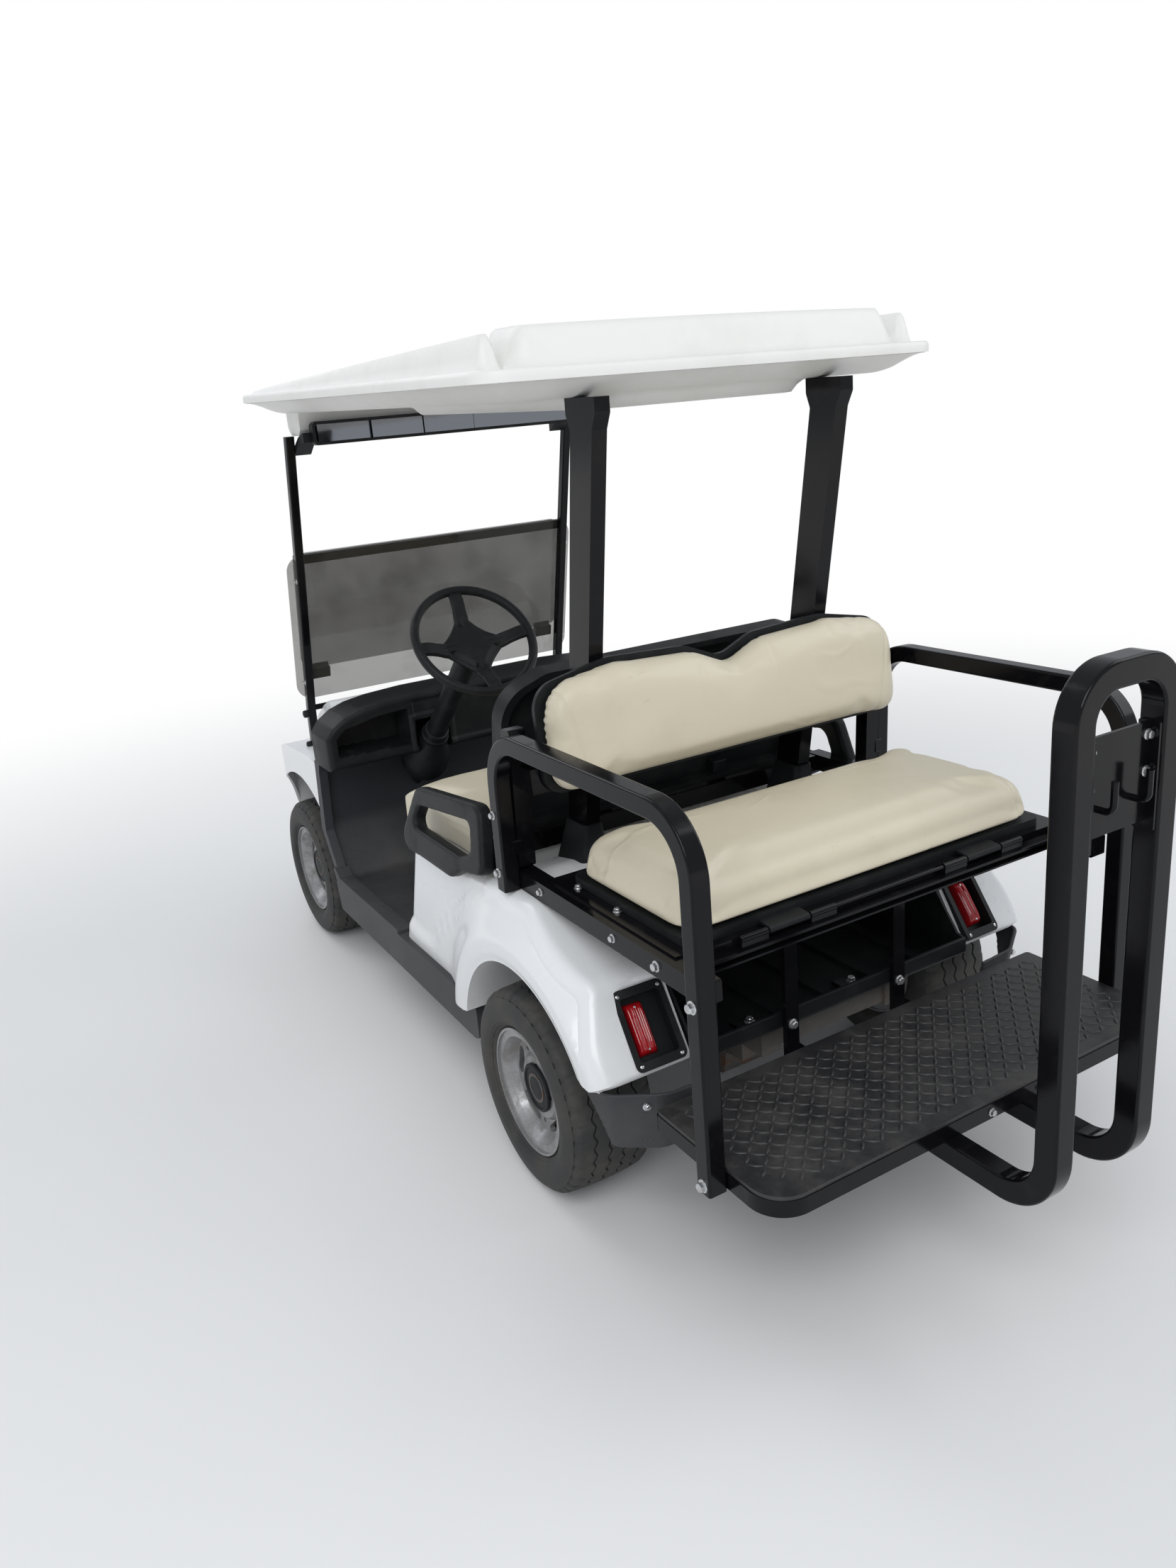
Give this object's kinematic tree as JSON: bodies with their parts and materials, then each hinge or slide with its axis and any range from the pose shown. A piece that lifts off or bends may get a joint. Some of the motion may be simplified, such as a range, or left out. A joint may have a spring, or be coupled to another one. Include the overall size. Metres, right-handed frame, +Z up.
{
  "type": "golf cart",
  "caption": "Two-seat golf cart with a roof, a folding windshield, a bag well and a rear-facing flip seat kit with a footrest and a grab bar.",
  "frame": {"origin": "on the ground under the middle of the cart's overall box", "axes": "+X to the cart's left, +Y to its rear, +Z up"},
  "size_m": [1.184, 3.01, 1.7701],
  "materials": {
    "white_shell": "glossy white moulded shell",
    "roof_plastic": "white moulded roof, slightly grained",
    "black_plastic": "black moulded plastic, satin",
    "grey_plastic": "dark grey moulded plastic, grained",
    "black_metal": "gloss black powder coat",
    "chassis_metal": "matt black chassis paint",
    "cast_parts": "bare cast iron",
    "vinyl": "stone beige seat vinyl, fine grain",
    "tyre": "black tyre rubber",
    "rim_metal": "silver painted disc wheel",
    "smoked_pane": "smoked clear sheet",
    "mirror_pane": "mirror",
    "red_lens": "red ribbed lens",
    "clear_lens": "clear head lamp lens",
    "mat_rubber": "raised diamond tread mat"
  },
  "bodies": {
    "cart": {"chassis_frame": "chassis_metal", "rear_axle": "cast_parts", "front_axle": "chassis_metal", "springs": "chassis_metal", "drive_unit": "chassis_metal", "floor_tub": "grey_plastic", "front_cowl": "white_shell", "front_bumper": "grey_plastic", "head_lamps": "clear_lens", "dash": "black_plastic", "rear_body": "white_shell", "rear_bumper": "grey_plastic", "bag_well": "black_plastic", "tail_lamp_bezels": "black_plastic", "tail_lamp_lenses": "red_lens", "roof_top": "roof_plastic", "roof_liner": "roof_plastic", "rear_struts": "black_metal", "strut_boots": "black_plastic", "front_struts": "black_metal", "windshield_lower": "smoked_pane", "windshield_upper": "smoked_pane", "windshield_clips": "black_plastic", "mirror_housing": "black_plastic", "mirror_glass": "mirror_pane", "steering_column": "black_plastic", "pedals": "black_metal", "front_seat_bottom": "vinyl", "front_seat_back": "vinyl", "front_seat_shell": "black_plastic", "hip_restraints": "black_plastic", "rear_arms": "black_metal", "rear_seat_rails": "black_metal", "rear_deck": "black_metal", "rear_seat_back": "vinyl", "rear_back_board": "black_plastic", "footrest_frame": "black_metal", "footrest_mat": "mat_rubber", "grab_bar": "black_metal", "bag_plate": "black_metal"},
    "knuckle_left": {"knuckle_left": "cast_parts"},
    "knuckle_right": {"knuckle_right": "cast_parts"},
    "steering_wheel": {"steering_wheel": "black_plastic"},
    "flip_seat": {"rear_seat_cushion": "vinyl", "rear_cushion_board": "black_plastic"},
    "wheel_front_left": {"tyre_front_left": "tyre", "rim_front_left": "rim_metal"},
    "wheel_front_right": {"tyre_front_right": "tyre", "rim_front_right": "rim_metal"},
    "wheel_rear_left": {"tyre_rear_left": "tyre", "rim_rear_left": "rim_metal"},
    "wheel_rear_right": {"tyre_rear_right": "tyre", "rim_rear_right": "rim_metal"}
  },
  "joints": [
    {"name": "steering", "type": "hinge", "parent": "cart", "child": "steering_wheel", "pos_m": [0.212, -0.307, 1.052], "axis": [0, 0.7431, 0.6691], "range_deg": [-450, 450]},
    {"name": "steer_left", "type": "hinge", "parent": "cart", "child": "knuckle_left", "pos_m": [0.325, -1.127, 0.2295], "axis": [0, 0, 1], "range_deg": [-30.1, 30.1]},
    {"name": "steer_right", "type": "hinge", "parent": "cart", "child": "knuckle_right", "pos_m": [-0.325, -1.127, 0.2295], "axis": [0, 0, 1], "range_deg": [-30.1, 30.1]},
    {"name": "spin_front_left", "type": "hinge", "parent": "knuckle_left", "child": "wheel_front_left", "pos_m": [0.44, -1.127, 0.2295], "axis": [1, 0, 0], "continuous": true},
    {"name": "spin_front_right", "type": "hinge", "parent": "knuckle_right", "child": "wheel_front_right", "pos_m": [-0.44, -1.127, 0.2295], "axis": [1, 0, 0], "continuous": true},
    {"name": "spin_rear_left", "type": "hinge", "parent": "cart", "child": "wheel_rear_left", "pos_m": [0.49, 0.513, 0.2295], "axis": [1, 0, 0], "continuous": true},
    {"name": "spin_rear_right", "type": "hinge", "parent": "cart", "child": "wheel_rear_right", "pos_m": [-0.49, 0.513, 0.2295], "axis": [1, 0, 0], "continuous": true},
    {"name": "seat_flip", "type": "hinge", "parent": "cart", "child": "flip_seat", "pos_m": [0, 1.008, 0.705], "axis": [-1, 0, 0], "range_deg": [0, 180]}
  ],
  "couplings": [
    {"joint": "steer_left", "follows": "steering", "ratio": 0.066667},
    {"joint": "steer_right", "follows": "steering", "ratio": 0.066667}
  ]
}
